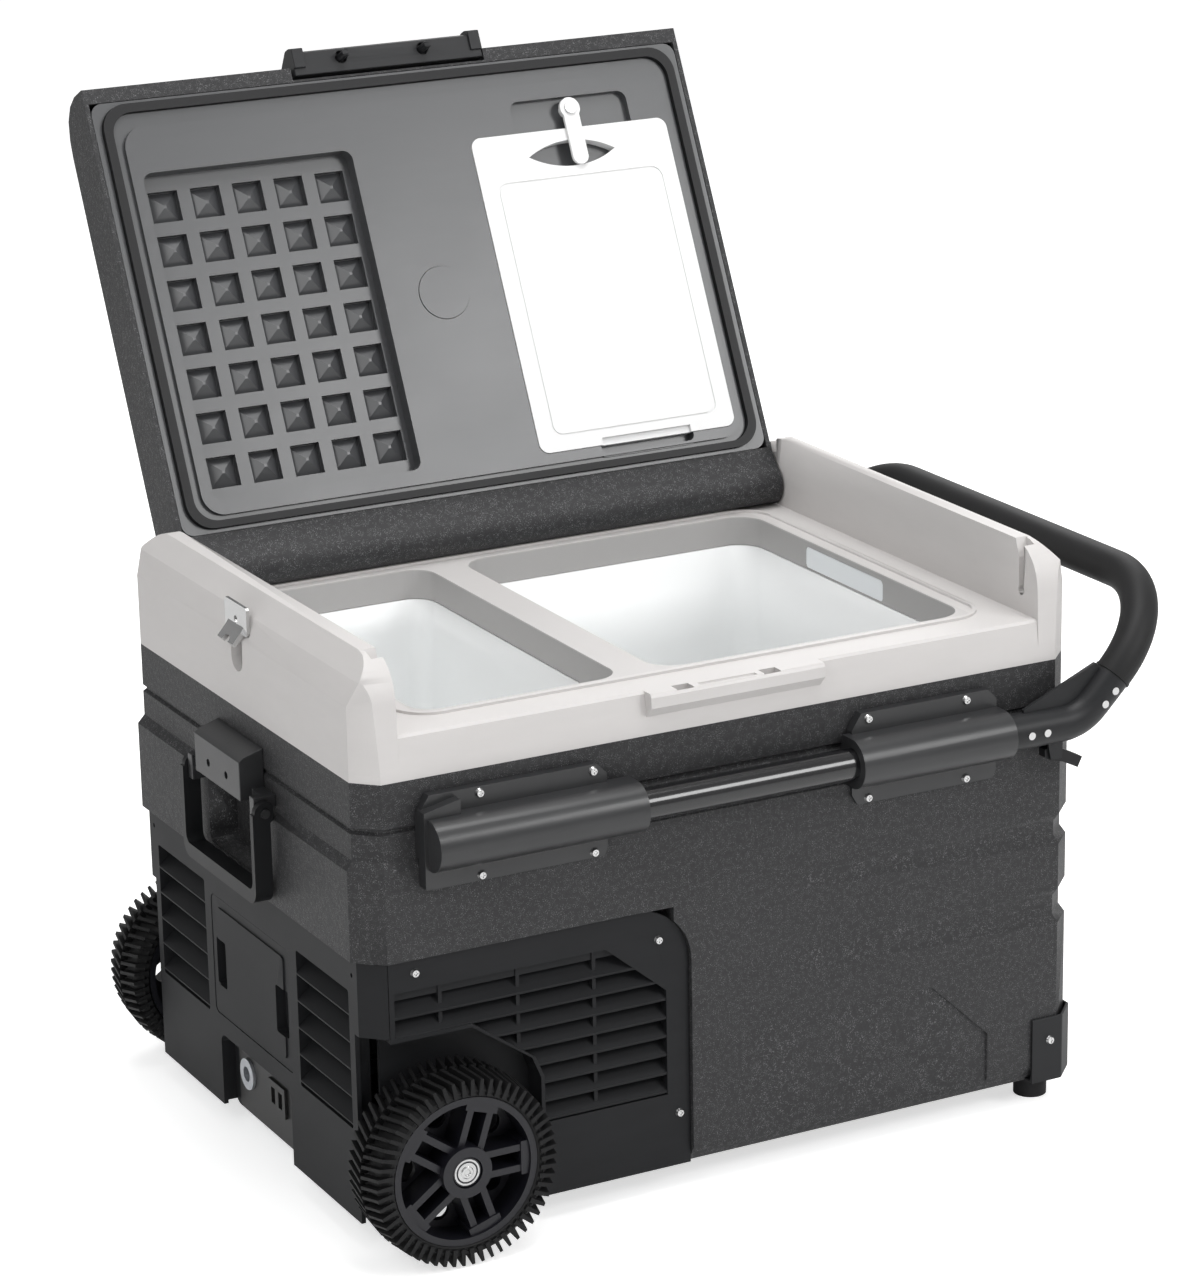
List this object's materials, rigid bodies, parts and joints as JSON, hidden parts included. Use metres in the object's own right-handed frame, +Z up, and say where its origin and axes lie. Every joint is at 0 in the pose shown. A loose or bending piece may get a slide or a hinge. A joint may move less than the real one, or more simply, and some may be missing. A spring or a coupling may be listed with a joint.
{
  "type": "compressor cooler fridge",
  "caption": "Wheeled compressor cooler with two cold compartments, a hinged lid open on its stop, a sliding pull handle and a swinging carry handle.",
  "frame": {"origin": "centre of the body's flat underside", "axes": "+Z up, +X towards the pull handle, -Y towards the latch side"},
  "size_m": [0.7155, 0.631, 0.7859],
  "materials": {
    "shell": "matte",
    "frame_white": "satin",
    "foam": "matte",
    "liner_white": "satin",
    "lamp_cover": "satin",
    "cover": "satin",
    "plate_black": "satin",
    "nickel": "satin",
    "zinc": "satin",
    "black_paint": "satin",
    "rubber": "matte",
    "condenser_alu": "satin",
    "copper": "polished",
    "fan_black": "satin",
    "circuit_board": "satin",
    "steel": "polished",
    "guard": "satin",
    "display_glass": "gloss",
    "button_grey": "satin",
    "guide": "satin",
    "bail": "satin",
    "lid_grey": "satin",
    "gasket": "satin",
    "board_white": "satin",
    "latch": "satin",
    "tube_black": "gloss",
    "arm_black": "satin",
    "grip": "matte",
    "lever": "satin",
    "wheel_black": "satin",
    "tyre": "matte"
  },
  "bodies": {
    "body": {"body_shell": "shell", "top_frame": "frame_white", "insulation": "foam", "small_tub": "liner_white", "large_tub": "liner_white", "led_panel": "lamp_cover", "front_cover": "cover", "rear_cover": "cover", "end_cover": "cover", "power_plate": "plate_black", "dc_socket": "nickel", "usb_socket": "plate_black", "battery_pack": "plate_black", "base_plate": "zinc", "compressor": "black_paint", "compressor_feet": "rubber", "condenser": "condenser_alu", "refrigerant_pipes": "copper", "fan_frame": "plate_black", "control_board": "circuit_board", "bottle_opener": "steel", "corner_guards": "guard", "feet": "rubber", "wheel_axle": "steel", "screws": "steel", "control_panel": "plate_black", "display": "display_glass", "handle_guide_fl": "guide", "handle_guide_fr": "guide", "handle_guide_bl": "guide", "handle_guide_br": "guide", "carry_bracket": "guide"},
    "lid": {"lid_shell": "shell", "lid_foam": "foam", "lid_liner": "lid_grey", "lid_gasket": "gasket", "lid_plug": "lid_grey", "hinge_pins": "steel", "cutting_board": "board_white", "clip_screw": "steel", "latch_pin": "steel"},
    "clip": {"board_clip": "board_white"},
    "latch": {"lid_latch": "latch"},
    "pull_handle": {"handle_tubes": "tube_black", "handle_arms": "arm_black", "handle_grip": "grip", "handle_rivets": "steel"},
    "lever_front": {"release_lever_front": "lever"},
    "lever_rear": {"release_lever_rear": "lever"},
    "carry_handle": {"carry_handle": "bail"},
    "wheel_front": {"front_wheel": "wheel_black", "front_tyre": "tyre"},
    "wheel_rear": {"rear_wheel": "wheel_black", "rear_tyre": "tyre"},
    "battery_door": {"battery_door": "cover"},
    "fan": {"fan_rotor": "fan_black"},
    "power_button": {"power_button": "button_grey"},
    "zone_button": {"zone_button": "button_grey"},
    "plus_button": {"plus_button": "button_grey"},
    "minus_button": {"minus_button": "button_grey"}
  },
  "joints": [
    {"name": "lid_hinge", "type": "hinge", "parent": "body", "child": "lid", "pos_m": [0, 0.185, 0.393], "axis": [1, 0, 0], "range_deg": [0, 115.8]},
    {"name": "latch_pivot", "type": "hinge", "parent": "lid", "child": "latch", "pos_m": [0, 0.3653, 0.74069], "axis": [1, 0, 0], "range_deg": [-22, 0], "stiffness_Nm_per_rad": 0.4, "springref_deg": 34.38},
    {"name": "clip_swivel", "type": "hinge", "parent": "lid", "child": "clip", "pos_m": [0.1495, 0.31599, 0.69843], "axis": [0, -0.9003, 0.4352], "range_deg": [-90, 90]},
    {"name": "pull_handle_slide", "type": "slide", "parent": "body", "child": "pull_handle", "axis": [1, 0, 0], "range_m": [0, 0.24]},
    {"name": "release_front", "type": "hinge", "parent": "pull_handle", "child": "lever_front", "pos_m": [0.269, -0.228, 0.2766], "axis": [0, 1, 0], "range_deg": [-15, 0], "stiffness_Nm_per_rad": 0.2, "springref_deg": 28.65},
    {"name": "release_rear", "type": "hinge", "parent": "pull_handle", "child": "lever_rear", "pos_m": [0.269, 0.228, 0.2766], "axis": [0, 1, 0], "range_deg": [-15, 0], "stiffness_Nm_per_rad": 0.2, "springref_deg": 28.65},
    {"name": "carry_handle_swing", "type": "hinge", "parent": "body", "child": "carry_handle", "pos_m": [-0.312, 0, 0.283], "axis": [0, 1, 0], "range_deg": [0, 105]},
    {"name": "front_wheel_spin", "type": "hinge", "parent": "body", "child": "wheel_front", "pos_m": [-0.245, -0.229, 0.054], "axis": [0, 1, 0], "continuous": true},
    {"name": "rear_wheel_spin", "type": "hinge", "parent": "body", "child": "wheel_rear", "pos_m": [-0.245, 0.229, 0.054], "axis": [0, 1, 0], "continuous": true},
    {"name": "battery_door_slide", "type": "slide", "parent": "body", "child": "battery_door", "axis": [-1, 0, 0], "range_m": [0, 0.06]},
    {"name": "fan_spin", "type": "hinge", "parent": "body", "child": "fan", "pos_m": [-0.155, 0.13, 0.105], "axis": [0, 1, 0], "continuous": true},
    {"name": "power_button_press", "type": "slide", "parent": "body", "child": "power_button", "axis": [-1, 0, 0], "range_m": [0, 0.0012], "stiffness_N_per_m": 500, "springref_m": -0.001},
    {"name": "zone_button_press", "type": "slide", "parent": "body", "child": "zone_button", "axis": [-1, 0, 0], "range_m": [0, 0.0012], "stiffness_N_per_m": 500, "springref_m": -0.001},
    {"name": "plus_button_press", "type": "slide", "parent": "body", "child": "plus_button", "axis": [-1, 0, 0], "range_m": [0, 0.0012], "stiffness_N_per_m": 500, "springref_m": -0.001},
    {"name": "minus_button_press", "type": "slide", "parent": "body", "child": "minus_button", "axis": [-1, 0, 0], "range_m": [0, 0.0012], "stiffness_N_per_m": 500, "springref_m": -0.001}
  ]
}
